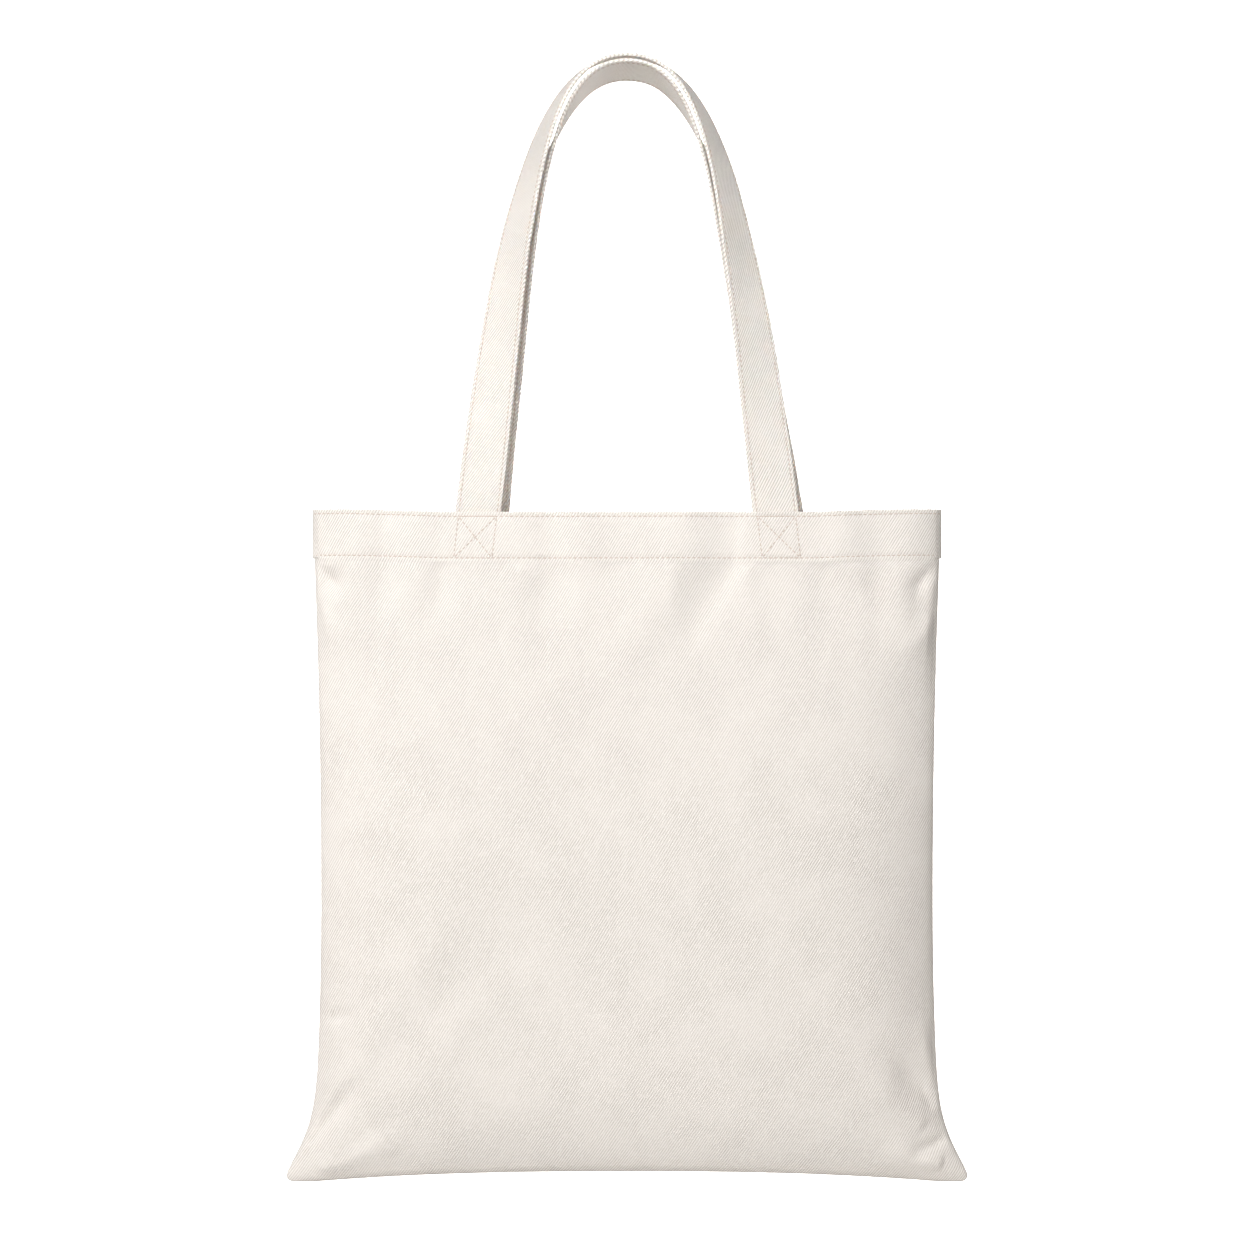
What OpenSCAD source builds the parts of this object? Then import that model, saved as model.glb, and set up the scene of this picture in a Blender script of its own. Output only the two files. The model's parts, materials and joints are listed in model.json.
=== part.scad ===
// Flat canvas tote bag: two sewn panels with a turned-in hem, and two long strap handles.
// It hangs by its handles. +Z up, front towards -Y, origin under the top of the handles' arch,
// where a hook or a hand carries it.

/* [Body] */
// Width of the bag from side seam to side seam at the mouth
bag_w = 380; // [300:1:460]
// Height from the lowest corner to the mouth at the side seams
bag_h = 406; // [330:1:480]
// How far the side seams pull in at their waist, on each side
waist_pull = 5.3; // [2:0.1:10]
// How far each bottom corner stands out beyond the side seam above it
corner_flare = 16; // [6:0.5:22]
// Radius of the bottom corners
corner_r = 5; // [3:0.5:8]
// Rise of the bottom seam at its middle
bottom_rise = 6.2; // [2:0.1:12]
// Sag of the mouth's edge between its corners
mouth_sag = 1.8; // [0:0.1:4]
// Inside depth of each panel at the fullest place
belly_d = 22; // [15:0.5:30]
// Depth of each panel's outer face at the mouth
mouth_d = 12.5; // [11:0.5:14]
// Thickness of the canvas
canvas_t = 0.9; // [0.6:0.1:1.2]

/* [Hem and seams] */
// Height of the turned-in hem
hem_h = 30; // [24:1:40]
// Distance of each stitch line from the edge that it follows
stitch_inset = 2.5; // [2:0.1:4]
// Width of the turned-in seam allowances
allowance_w = 9; // [6:0.5:12]
// Width of the overlocked band on the raw edges
overlock_w = 4.5; // [3:0.5:6]
// Thickness of the sewing thread
thread_d = 0.7; // [0.4:0.1:1]

/* [Handles] */
// Width of a strap
strap_w = 28; // [22:1:36]
// Thickness of a strap
strap_t = 2.2; // [1.6:0.1:3]
// Distance of each strap's middle from the bag's middle, at the mouth
strap_x = 89.5; // [75:0.5:95]
// Height of a handle's arch above the mouth
handle_rise = 276; // [200:1:340]
// Sideways offset of the back handle at the mouth
back_shift = 4; // [0:0.1:5]
// Inward lean of the straps where they leave the mouth, in degrees
strap_lean = 6.5; // [3:0.5:8]
// Clear gap between the two straps where they lie together at the top
strap_gap = 0.8; // [0.6:0.1:1.5]

/* [Hidden] */

canvas = "#ece7de";
thread = "#e2d9cc";

FRONT = -1;
BACK = 1;
LEFT = -1;
RIGHT = 1;

touch = 0.05;                  // half the gap between the two panels at their seams
lay_gap = 0.25;                // between a strap and the hem that it lies on
proud = 0.15;                  // how far a thread stands out of the cloth
hinge_gap = 0.3;               // between a sewn strap end and the free strap above it
half_w = bag_w / 2;
mouth_z = bag_h - mouth_sag;   // height of the mouth's edge between the straps
strap_out = strap_x + strap_w / 2 + back_shift + hem_h * tan(strap_lean);
flat_x = strap_out + 2;        // the mouth is flat out to here, just past the sewn straps
flat_share = flat_x / half_w;
hem_low_z = mouth_z - hem_h;
waist_z = 0.42 * bag_h;
belly_z = 0.40 * bag_h;
flare_z = 27;                  // height over which the flare of a corner dies away
lower_spread = 6;              // widening of the body from its waist to its corners
belly_flat = 0.3;              // share of the half width over which the belly is flat
mouth_in = mouth_d - canvas_t; // the turned edge: a handle folds over about this line
hem_in = mouth_in - canvas_t;  // inner face of the hem
strap_face = hem_in - lay_gap; // face of a sewn strap end that lies on the hem
strap_y = strap_face - strap_t / 2;
loop_z = mouth_z + hinge_gap;  // where the free part of a strap begins

COLUMNS = 32;
BOTTOM_ROWS = 22;
HEM_STEP = 0.2;
HEM_TURN = 9;                  // height over which the belly runs into the straight hem

// ---------- the body's outline and depth ----------

function clamp01(v) = min(1, max(0, v));

function spread_above(z) = waist_pull * pow((z - waist_z) / (bag_h - waist_z), 2);

function spread_below(z) =
    lower_spread * pow((waist_z - z) / waist_z, 2)
    + corner_flare * exp(-pow(max(0, z) / flare_z, 1.6));

function corner_cut(z) =
    z < corner_r ? corner_r - sqrt(max(0, corner_r * corner_r - pow(corner_r - z, 2))) : 0;

// Half of the body's width at a height
function half_width(z) =
    half_w - waist_pull
    + (z > waist_z ? spread_above(z) : spread_below(z))
    - corner_cut(z);

function bottom_edge(x) = bottom_rise * (1 - pow(min(1, abs(x) / half_w), 2.5));

function mouth_edge(x) =
    bag_h - mouth_sag * (1 - pow(clamp01((abs(x) - flat_x) / (half_w - flat_x)), 2));

// 0 below the belly's widest place, 1 at the straight hem
function upward(z) = clamp01((z - belly_z) / (hem_low_z - HEM_TURN - belly_z));

// Share of the half width over which a level section is flat
function flat_part(z) = belly_flat + (flat_share - belly_flat) * pow(upward(z), 2);

function section(u, z) =
    let (w = max(0, abs(u) - flat_part(z)) / (1 - flat_part(z)))
    pow(max(0, 1 - pow(w, 4)), 0.55);

function middle_depth(z, low) =
    z < belly_z
    ? belly_d * pow(1 - pow(1 - clamp01((z - low) / (belly_z - low)), 3.5), 0.55)
    : mouth_in + (belly_d - mouth_in) * pow(cos(90 * upward(z)), 2);

// Inner face of a panel's outer layer, as a distance from the middle plane
function inner_depth(u, z, low) = max(touch, middle_depth(z, low) * section(u, z));

// The canvas's thickness along Y, more where its face turns away
function cloth_y(u, z, low) =
    let (
        du = 0.01,
        a = inner_depth(min(1, u + du), z, low),
        b = inner_depth(max(-1, u - du), z, low),
        slope = (a - b) / ((min(1, u + du) - max(-1, u - du)) * half_width(z))
    )
    canvas_t * min(1.8, sqrt(1 + slope * slope));

// ---------- grids and sweeps ----------

// Heights of the rows at the side seams: dense at the bottom, then a step where the hem begins
row_z = concat(
    [for (i = [0 : BOTTOM_ROWS]) hem_low_z * pow(i / BOTTOM_ROWS, 1.6) - (i == BOTTOM_ROWS ? HEM_STEP : 0)],
    [hem_low_z, hem_low_z + hem_h / 2, mouth_z]
);

// Height of a row at a place across the bag, between the bottom seam and the mouth
function row_at(z, x) =
    z < hem_low_z - HEM_TURN
    ? bottom_edge(x) + z * (1 - bottom_edge(x) / (hem_low_z - HEM_TURN))
    : z + (mouth_edge(x) - mouth_z);

function column(j) = let (s = 2 * j / COLUMNS - 1) sign(s) * (1 - pow(1 - abs(s), 1.25));

function layers(z) = z >= hem_low_z ? 2 : 1;

// A point of a panel: side is FRONT or BACK, face 0 is inner and 1 is outer
function panel_point(side, u, z, face) =
    let (
        x = u * half_width(z),
        low = bottom_edge(x),
        zz = row_at(z, x),
        d = inner_depth(u, zz, low),
        t = cloth_y(u, zz, low)
    )
    [x, side * (face == 1 ? d + t : max(touch, d - (layers(z) - 1) * t)), zz];

// A closed sheet between two grids of points
module sheet(outer, inner) {
    rows = len(outer);
    cols = len(outer[0]);
    n = rows * cols;
    points = concat([for (r = outer) each r], [for (r = inner) each r]);
    function at(i, j) = i * cols + j;
    face_out = [for (i = [0 : rows - 2], j = [0 : cols - 2])
        each [[at(i, j), at(i + 1, j), at(i + 1, j + 1)], [at(i, j), at(i + 1, j + 1), at(i, j + 1)]]];
    face_in = [for (i = [0 : rows - 2], j = [0 : cols - 2])
        each [[n + at(i, j), n + at(i + 1, j + 1), n + at(i + 1, j)],
              [n + at(i, j), n + at(i, j + 1), n + at(i + 1, j + 1)]]];
    rim = concat(
        [for (j = [0 : cols - 1]) at(0, j)],
        [for (i = [1 : rows - 1]) at(i, cols - 1)],
        [for (j = [cols - 2 : -1 : 0]) at(rows - 1, j)],
        [for (i = [rows - 2 : -1 : 1]) at(i, 0)]
    );
    wall = [for (k = [0 : len(rim) - 1])
        let (a = rim[k], b = rim[(k + 1) % len(rim)])
        each [[a, b, n + b], [a, n + b, n + a]]];
    polyhedron(points, concat(face_out, face_in, wall), convexity = 10);
}

// A closed bar through a list of rings, each with the same number of corners
module skin(rings) {
    n = len(rings[0]);
    m = len(rings);
    sides = [for (i = [0 : m - 2], j = [0 : n - 1])
        let (a = i * n + j, b = i * n + (j + 1) % n, c = b + n, d = a + n)
        each [[a, c, b], [a, d, c]]];
    caps = [[for (j = [0 : n - 1]) j], [for (j = [n - 1 : -1 : 0]) (m - 1) * n + j]];
    polyhedron([for (r = rings) each r], concat(sides, caps), convexity = 10);
}

// Lowers a piece that is drawn up from the bag's lowest corner to its place under the origin
module hung() translate([0, 0, -hang_z]) children();

// Draws a piece on the front or the back of the bag
module placed(side) {
    hung()
    if (side == BACK) mirror([0, 1, 0]) children();
    else children();
}

// ---------- panels ----------

module panel(side) {
    color(canvas)
    placed(side)
    sheet(
        [for (z = row_z) [for (j = [0 : COLUMNS]) panel_point(FRONT, column(j), z, 1)]],
        [for (z = row_z) [for (j = [0 : COLUMNS]) panel_point(FRONT, column(j), z, 0)]]
    );
}

// ---------- stitching round the mouth ----------

// A line of thread through the front cloth at a distance below the mouth's edge
module mouth_run(below) {
    z = mouth_z - below;
    half = thread_d / 2;
    skin([for (j = [0 : COLUMNS])
        let (
            a = panel_point(FRONT, column(j), z, 1),
            b = panel_point(FRONT, column(j), z, 0)
        )
        [
            [a[0], a[1] - proud, a[2] - half], [a[0], a[1] - proud, a[2] + half],
            [b[0], min(-touch / 2, b[1] + proud), b[2] + half],
            [b[0], min(-touch / 2, b[1] + proud), b[2] - half]
        ]
    ]);
}

module mouth_ring(below) {
    color(thread) {
        placed(FRONT) mouth_run(below);
        placed(BACK) mouth_run(below);
    }
}

// ---------- side and bottom seams, inside the bag ----------

SEAM_STEPS = 16;
corner_gap = 20;               // length at the bottom corners where the allowances are cut away

function side_z(i) = corner_gap + (hem_low_z - HEM_TURN - corner_gap) * pow(i / SEAM_STEPS, 1.3);

// A flat band inside the side seam, between two distances from the fold
module side_band(side, near, far, half) {
    hung()
    skin([for (i = [0 : SEAM_STEPS])
        let (z = side_z(i), x = half_width(z))
        side == RIGHT
        ? [[x - near, -half, z], [x - far, -half, z], [x - far, half, z], [x - near, half, z]]
        : [[far - x, -half, z], [near - x, -half, z], [near - x, half, z], [far - x, half, z]]
    ]);
}

function bottom_x(i) = (half_w - corner_gap) * (2 * i / SEAM_STEPS - 1);

module bottom_band(near, far, half) {
    hung()
    skin([for (i = [0 : SEAM_STEPS])
        let (x = bottom_x(i), z = bottom_edge(x))
        [[x, -half, z + near], [x, half, z + near], [x, half, z + far], [x, -half, z + far]]
    ]);
}

allow_in = 2.5;                // the allowance starts clear of the panels' own fold
allow_half = canvas_t;         // two layers, one on each side of the middle plane

module side_allowance(side) color(canvas) side_band(side, allow_in, allowance_w, allow_half);

module side_stitching(side) color(thread)
    side_band(side, allow_in + stitch_inset / 2, allow_in + stitch_inset / 2 + thread_d, allow_half + proud);

module side_overlock(side) color(thread)
    side_band(side, allowance_w - overlock_w, allowance_w + proud, allow_half + 2 * proud);

module bottom_allowance() color(canvas) bottom_band(allow_in, allowance_w, allow_half);

module bottom_stitching() color(thread)
    bottom_band(allow_in + stitch_inset / 2, allow_in + stitch_inset / 2 + thread_d, allow_half + proud);

module bottom_overlock() color(thread)
    bottom_band(allowance_w - overlock_w, allowance_w + proud, allow_half + 2 * proud);

// ---------- sewn strap ends ----------

function shift_of(side) = side == BACK ? back_shift : 0;

// Corners of a sewn end in the XZ plane, drawn in by an inset
function end_corners(side, hand, inset) =
    let (
        low = hem_low_z + inset,
        high = mouth_z - inset,
        x = hand * strap_x + shift_of(side),
        half = strap_w / 2 - inset,
        lean = hand * tan(strap_lean)
    )
    [
        [x - half + lean * (mouth_z - low), low], [x + half + lean * (mouth_z - low), low],
        [x + half + lean * (mouth_z - high), high], [x - half + lean * (mouth_z - high), high]
    ];

// Puts an XZ outline between two distances from the middle plane
module upright(side, from, to) {
    placed(side)
    translate([0, -from, 0])
    rotate([90, 0, 0])
    linear_extrude(height = to - from) children();
}

module strap_end(side, hand) {
    color(canvas)
    upright(side, strap_face - strap_t, strap_face)
    polygon(end_corners(side, hand, 0));
}

// A straight line of thread between two points, in 2D
module thread_line(a, b) {
    d = (b - a) / norm(b - a) * thread_d / 2;
    n = [-d[1], d[0]];
    polygon([a - d - n, b + d - n, b + d + n, a - d + n]);
}

module cross_stitch(side, hand) {
    c = end_corners(side, hand, stitch_inset);
    color(thread)
    upright(side, strap_face - strap_t - proud, mouth_d + proud) {
        for (k = [0 : 3]) thread_line(c[k], c[(k + 1) % 4]);
        thread_line(c[0], c[2]);
        thread_line(c[1], c[3]);
    }
}

// ---------- handles ----------

HALF_STEPS = 28;               // rings from the mouth to the top of the arch
leg_pull = 0.725;              // how far the straight leg reaches, as a share of the rise
arch_pull = 0.58;              // how wide the round arch is, as a share of strap_x
front_turn = 82;               // degrees that the front strap has turned at the top
back_turn = 104;               // and the back strap, which opens away below it
back_lean = back_turn - 90;

base_point = [-strap_x, 0];
leg_point = base_point + leg_pull * handle_rise * [sin(strap_lean), cos(strap_lean)];
arch_point = [-arch_pull * strap_x, handle_rise];
top_point = [0, handle_rise];

// The left half of a handle's middle line, in the XZ plane above the mouth: t is 0 at the mouth
// and 1 at the top
function half_curve(t) =
    let (s = 1 - t)
    s * s * s * base_point + 3 * s * s * t * leg_point + 3 * s * t * t * arch_point + t * t * t * top_point;

function half_slope(t) =
    let (
        s = 1 - t,
        d = s * s * (leg_point - base_point) + 2 * s * t * (arch_point - leg_point)
            + t * t * (top_point - arch_point)
    )
    d / norm(d);

// Outward direction of the arch; level at the mouth, so that the strap is cut level there
function outward(hand, t) =
    t == 0 ? [hand, 0, 0] : let (d = half_slope(t)) [hand * d[1], 0, d[0]];

function turn(t, top) = top * (1 - pow(1 - t, 2));

function face_of(hand, t, top) = let (b = turn(t, top)) sin(b) * outward(hand, t) + [0, -cos(b), 0];
function edge_of(hand, t, top) = let (b = turn(t, top)) -cos(b) * outward(hand, t) + [0, -sin(b), 0];

// Distance between the two straps: the mouth's depth at the bottom, one strap and a gap at the top
function apart(t) =
    let (top = strap_t + strap_gap)
    top + (2 * strap_y - top) * pow(1 - t, 2.5);

function front_line(hand, t) =
    let (c = half_curve(t))
    [-hand * c[0], -apart(t) / 2, loop_z + c[1]];

// The back strap's inner edge lies behind the front one's at the mouth and under it at the top
function back_line(hand, t) =
    let (under = front_turn * pow(t, 1.6))
    front_line(hand, t)
    + strap_w / 2 * (edge_of(hand, t, front_turn) - edge_of(hand, t, back_turn))
    + apart(t) * (cos(under) * [0, 1, 0] - sin(under) * outward(hand, t))
    + [back_shift * pow(1 - t, 4), 0, 0];

// Height at which the underside of the back strap's top crosses the middle plane
hang_z =
    let (top = back_line(LEFT, 1))
    top[2] - strap_t / 2 / cos(back_lean) + top[1] * tan(back_lean);

// Rings of a band on a strap: offset from its middle line towards the inner edge, width, thickness
function band_rings(side, offset, width, thick) = [
    for (i = [0 : 2 * HALF_STEPS])
    let (
        hand = i <= HALF_STEPS ? LEFT : RIGHT,
        t = 1 - abs(1 - i / HALF_STEPS),
        top = side == FRONT ? front_turn : back_turn,
        e = edge_of(hand, t, top),
        n = face_of(hand, t, top) * thick / 2,
        c = (side == FRONT ? front_line(hand, t) : back_line(hand, t)) + offset * e
    )
    [c - e * width / 2 - n, c - e * width / 2 + n, c + e * width / 2 + n, c + e * width / 2 - n]
];

module handle(side) color(canvas) hung() skin(band_rings(side, 0, strap_w, strap_t));

module handle_stitching(side, edge) color(thread)
    hung() skin(band_rings(side, edge * (strap_w / 2 - stitch_inset), thread_d, strap_t + 2 * proud));

INNER = 1;
OUTER = -1;

// ---------- nodes ----------

panel(FRONT);  // front_panel
panel(BACK);  // back_panel
side_allowance(LEFT);  // left_seam_allowance
side_allowance(RIGHT);  // right_seam_allowance
bottom_allowance();  // bottom_seam_allowance
side_stitching(LEFT);  // left_seam_stitching
side_stitching(RIGHT);  // right_seam_stitching
bottom_stitching();  // bottom_seam_stitching
side_overlock(LEFT);  // left_overlock
side_overlock(RIGHT);  // right_overlock
bottom_overlock();
mouth_ring(stitch_inset);  // mouth_topstitching
mouth_ring(hem_h - stitch_inset);  // hem_stitching
strap_end(FRONT, LEFT);  // front_left_strap_end
strap_end(FRONT, RIGHT);  // front_right_strap_end
strap_end(BACK, LEFT);  // back_left_strap_end
strap_end(BACK, RIGHT);  // back_right_strap_end
cross_stitch(FRONT, LEFT);  // front_left_cross_stitch
cross_stitch(FRONT, RIGHT);  // front_right_cross_stitch
cross_stitch(BACK, LEFT);  // back_left_cross_stitch
cross_stitch(BACK, RIGHT);  // back_right_cross_stitch
handle(FRONT);  // front_handle
handle(BACK);  // back_handle
handle_stitching(FRONT, INNER);  // front_handle_inner_stitching
handle_stitching(FRONT, OUTER);  // front_handle_outer_stitching
handle_stitching(BACK, INNER);  // back_handle_inner_stitching
handle_stitching(BACK, OUTER);  // back_handle_outer_stitching
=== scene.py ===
"""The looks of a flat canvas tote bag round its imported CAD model. Metres, +Z up, front towards -Y."""
import json
import math

import bpy
import numpy as np
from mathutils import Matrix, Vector, noise


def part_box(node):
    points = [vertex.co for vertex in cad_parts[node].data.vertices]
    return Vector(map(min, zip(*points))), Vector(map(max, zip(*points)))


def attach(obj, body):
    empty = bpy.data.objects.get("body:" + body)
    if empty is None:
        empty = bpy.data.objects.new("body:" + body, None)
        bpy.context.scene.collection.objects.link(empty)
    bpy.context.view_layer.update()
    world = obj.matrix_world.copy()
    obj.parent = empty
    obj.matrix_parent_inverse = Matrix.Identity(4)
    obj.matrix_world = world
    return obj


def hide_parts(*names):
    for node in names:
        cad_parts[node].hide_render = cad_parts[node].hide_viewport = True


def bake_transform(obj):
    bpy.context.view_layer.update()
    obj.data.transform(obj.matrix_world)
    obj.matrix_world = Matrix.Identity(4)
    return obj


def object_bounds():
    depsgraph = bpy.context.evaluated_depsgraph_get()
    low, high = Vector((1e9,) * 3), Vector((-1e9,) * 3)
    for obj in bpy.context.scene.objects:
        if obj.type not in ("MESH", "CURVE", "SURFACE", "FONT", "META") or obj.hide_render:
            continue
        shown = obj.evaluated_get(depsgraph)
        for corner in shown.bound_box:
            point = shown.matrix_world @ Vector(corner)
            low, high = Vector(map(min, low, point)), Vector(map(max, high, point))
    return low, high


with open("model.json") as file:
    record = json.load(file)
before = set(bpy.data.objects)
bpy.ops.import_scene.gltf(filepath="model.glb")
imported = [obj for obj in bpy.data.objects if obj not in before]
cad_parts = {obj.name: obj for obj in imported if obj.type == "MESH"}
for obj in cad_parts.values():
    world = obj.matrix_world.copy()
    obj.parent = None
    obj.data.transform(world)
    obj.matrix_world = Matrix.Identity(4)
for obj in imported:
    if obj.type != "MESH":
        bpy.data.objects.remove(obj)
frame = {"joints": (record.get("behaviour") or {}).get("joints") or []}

cad_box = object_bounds()
rng = np.random.default_rng(7)
MM = 0.001
FRONT, BACK = -1, 1
LEFT, RIGHT = -1, 1
SIDE_NAMES = {FRONT: "front", BACK: "back"}
HAND_NAMES = {LEFT: "left", RIGHT: "right"}

# ---------- sizes, read from the frame where it has them ----------

panel_low, panel_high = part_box("front_panel")
end_low, end_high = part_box("front_left_strap_end")
hinge = Vector(next(j for j in frame["joints"] if j["child"] == "front_handle")["pos_m"])
BOTTOM_Z = panel_low.z                       # the lowest corners
BAG_H = panel_high.z - BOTTOM_Z
MOUTH_H = hinge.z - BOTTOM_Z                 # the mouth's edge between the straps
HEM_H = end_high.z - end_low.z
CLOTH = 0.9 * MM                             # two layers of the hem fill 1.8 mm
MOUTH_IN = -hinge.y                          # from the middle plane to the hem's turned edge
HALF_MOUTH = 190 * MM
WAIST_PULL = 5.3 * MM
CORNER_FLARE = 16 * MM
CORNER_R = 5 * MM
BOTTOM_RISE = 6.2 * MM
BELLY = -panel_low.y - CLOTH
LOWER_SPREAD = 6 * MM
FLARE_H = 27 * MM
BELLY_FLAT = 0.3
WAIST_H = 0.42 * BAG_H
BELLY_H = 0.40 * BAG_H
HEM_LOW = MOUTH_H - HEM_H
HEM_TURN = 9 * MM
STITCH_INSET = 2.5 * MM
STITCH_PITCH = 3.1 * MM
STITCH_SHARE = 0.80                          # of the pitch that shows as thread
THREAD_R = 0.3 * MM
THREAD_SUNK = 0.35                           # share of its radius that a stitch lies in the cloth
ALLOWANCE_W = 9 * MM
ALLOWANCE_IN = 2.5 * MM

STRAP_W = 28 * MM
STRAP_T = end_high.y - end_low.y
STRAP_X = 89.5 * MM
STRAP_Y = -(end_low.y + end_high.y) / 2      # middle of a sewn strap end
STRAP_FACE = STRAP_T / 2 * 0.98              # from a strap's middle to its face
STRAP_PINCH = 0.22 * MM                      # depth of the groove along its stitch lines
STRAP_LEAN = math.radians(6.5)
BACK_SHIFT = 4 * MM
STRAP_GAP = 0.8 * MM
RISE = 276 * MM
HINGE_GAP = 0.3 * MM
FRONT_TURN = 82
BACK_TURN = 104
LEG_PULL = 0.725
ARCH_PULL = 0.58
FLAT_X = STRAP_X + STRAP_W / 2 + BACK_SHIFT + HEM_H * math.tan(STRAP_LEAN) + 2 * MM
FLAT_SHARE = FLAT_X / HALF_MOUTH


def clamp01(v):
    return np.clip(v, 0.0, 1.0)


def smooth(v):
    v = clamp01(v)
    return v * v * (3 - 2 * v)


# ---------- the body's outline and depth, as in the CAD model; h is the height above the corners ----------

def half_width(h):
    above = WAIST_PULL * ((h - WAIST_H) / (BAG_H - WAIST_H)) ** 2
    below = LOWER_SPREAD * ((WAIST_H - h) / WAIST_H) ** 2
    below = below + CORNER_FLARE * np.exp(-(np.maximum(0, h) / FLARE_H) ** 1.6)
    low = np.clip(CORNER_R - h, 0, CORNER_R)
    corner = CORNER_R - np.sqrt(np.maximum(0, CORNER_R ** 2 - low ** 2))
    return HALF_MOUTH - WAIST_PULL + np.where(h > WAIST_H, above, below) - corner


def bottom_edge(x):
    return BOTTOM_RISE * (1 - np.minimum(1, np.abs(x) / HALF_MOUTH) ** 2.5)


def mouth_rise(x):
    s = clamp01((np.abs(x) - FLAT_X) / (HALF_MOUTH - FLAT_X))
    return (BAG_H - MOUTH_H) * (2 * s - s * s)


def depth(u, h, low):
    """Distance of the outer cloth's inner face from the middle plane."""
    up = clamp01((h - BELLY_H) / (HEM_LOW - HEM_TURN - BELLY_H))
    flat = BELLY_FLAT + (FLAT_SHARE - BELLY_FLAT) * up ** 2
    w = np.maximum(0, np.abs(u) - flat) / (1 - flat)
    filled = smooth(h / (70 * MM)) * (1 - smooth((h - 290 * MM) / (70 * MM)))
    section = np.maximum(0, 1 - w ** 4) ** (0.55 + 0.25 * filled)
    under = BELLY * (1 - (1 - clamp01((h - low) / (BELLY_H - low))) ** 3.5) ** 0.55
    over = MOUTH_IN + (BELLY - MOUTH_IN) * np.cos(math.pi / 2 * up) ** 2
    return np.where(h < BELLY_H, under, over) * section


# ---------- meshes from grids ----------

def grid_faces(rows, cols, wrap=False):
    r, c = np.meshgrid(np.arange(rows - 1), np.arange(cols if wrap else cols - 1), indexing="ij")
    nxt = (c + 1) % cols
    corners = [r * cols + c, r * cols + nxt, (r + 1) * cols + nxt, (r + 1) * cols + c]
    return np.stack(corners, -1).reshape(-1, 4)


def mesh_object(name, points, faces, weave=None):
    mesh = bpy.data.meshes.new(name)
    mesh.from_pydata([tuple(p) for p in points], [], [tuple(int(i) for i in f) for f in faces])
    mesh.validate()
    if weave is not None:
        attribute = mesh.attributes.new("weave", "FLOAT_VECTOR", "POINT")
        attribute.data.foreach_set("vector", np.asarray(weave, np.float32).ravel())
    mesh.polygons.foreach_set("use_smooth", [True] * len(mesh.polygons))
    mesh.update()
    obj = bpy.data.objects.new(name, mesh)
    bpy.context.scene.collection.objects.link(obj)
    return obj


def grid_normals(p):
    du = np.gradient(p, axis=1)
    dv = np.gradient(p, axis=0)
    n = np.cross(du, dv)
    return n / np.maximum(1e-12, np.linalg.norm(n, axis=2, keepdims=True))


def thick_sheet(name, p, weave, thickness):
    """A closed sheet round a grid of points in the middle of the cloth, with its normals outwards."""
    rows, cols = p.shape[:2]
    n = grid_normals(p) * thickness / 2
    faces = grid_faces(rows, cols)
    count = rows * cols
    rim = np.concatenate([np.arange(cols), np.arange(1, rows) * cols + cols - 1,
                          (rows - 1) * cols + np.arange(cols - 2, -1, -1),
                          np.arange(rows - 2, 0, -1) * cols])
    nxt = np.roll(rim, -1)
    wall = np.stack([rim, rim + count, nxt + count, nxt], -1)
    points = np.concatenate([(p + n).reshape(-1, 3), (p - n).reshape(-1, 3)])
    both = np.concatenate([weave.reshape(-1, 3)] * 2)
    return mesh_object(name, points, np.concatenate([faces, faces[:, ::-1] + count, wall]), both)


def resample(grid, rows, cols):
    """Bilinear values of a grid at fractional rows and columns."""
    r0 = np.clip(np.floor(rows).astype(int), 0, grid.shape[0] - 2)
    c0 = np.clip(np.floor(cols).astype(int), 0, grid.shape[1] - 2)
    fr, fc = (rows - r0)[..., None], (cols - c0)[..., None]
    return ((grid[r0, c0] * (1 - fc) + grid[r0, c0 + 1] * fc) * (1 - fr)
            + (grid[r0 + 1, c0] * (1 - fc) + grid[r0 + 1, c0 + 1] * fc) * fr)


# ---------- materials ----------

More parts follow.
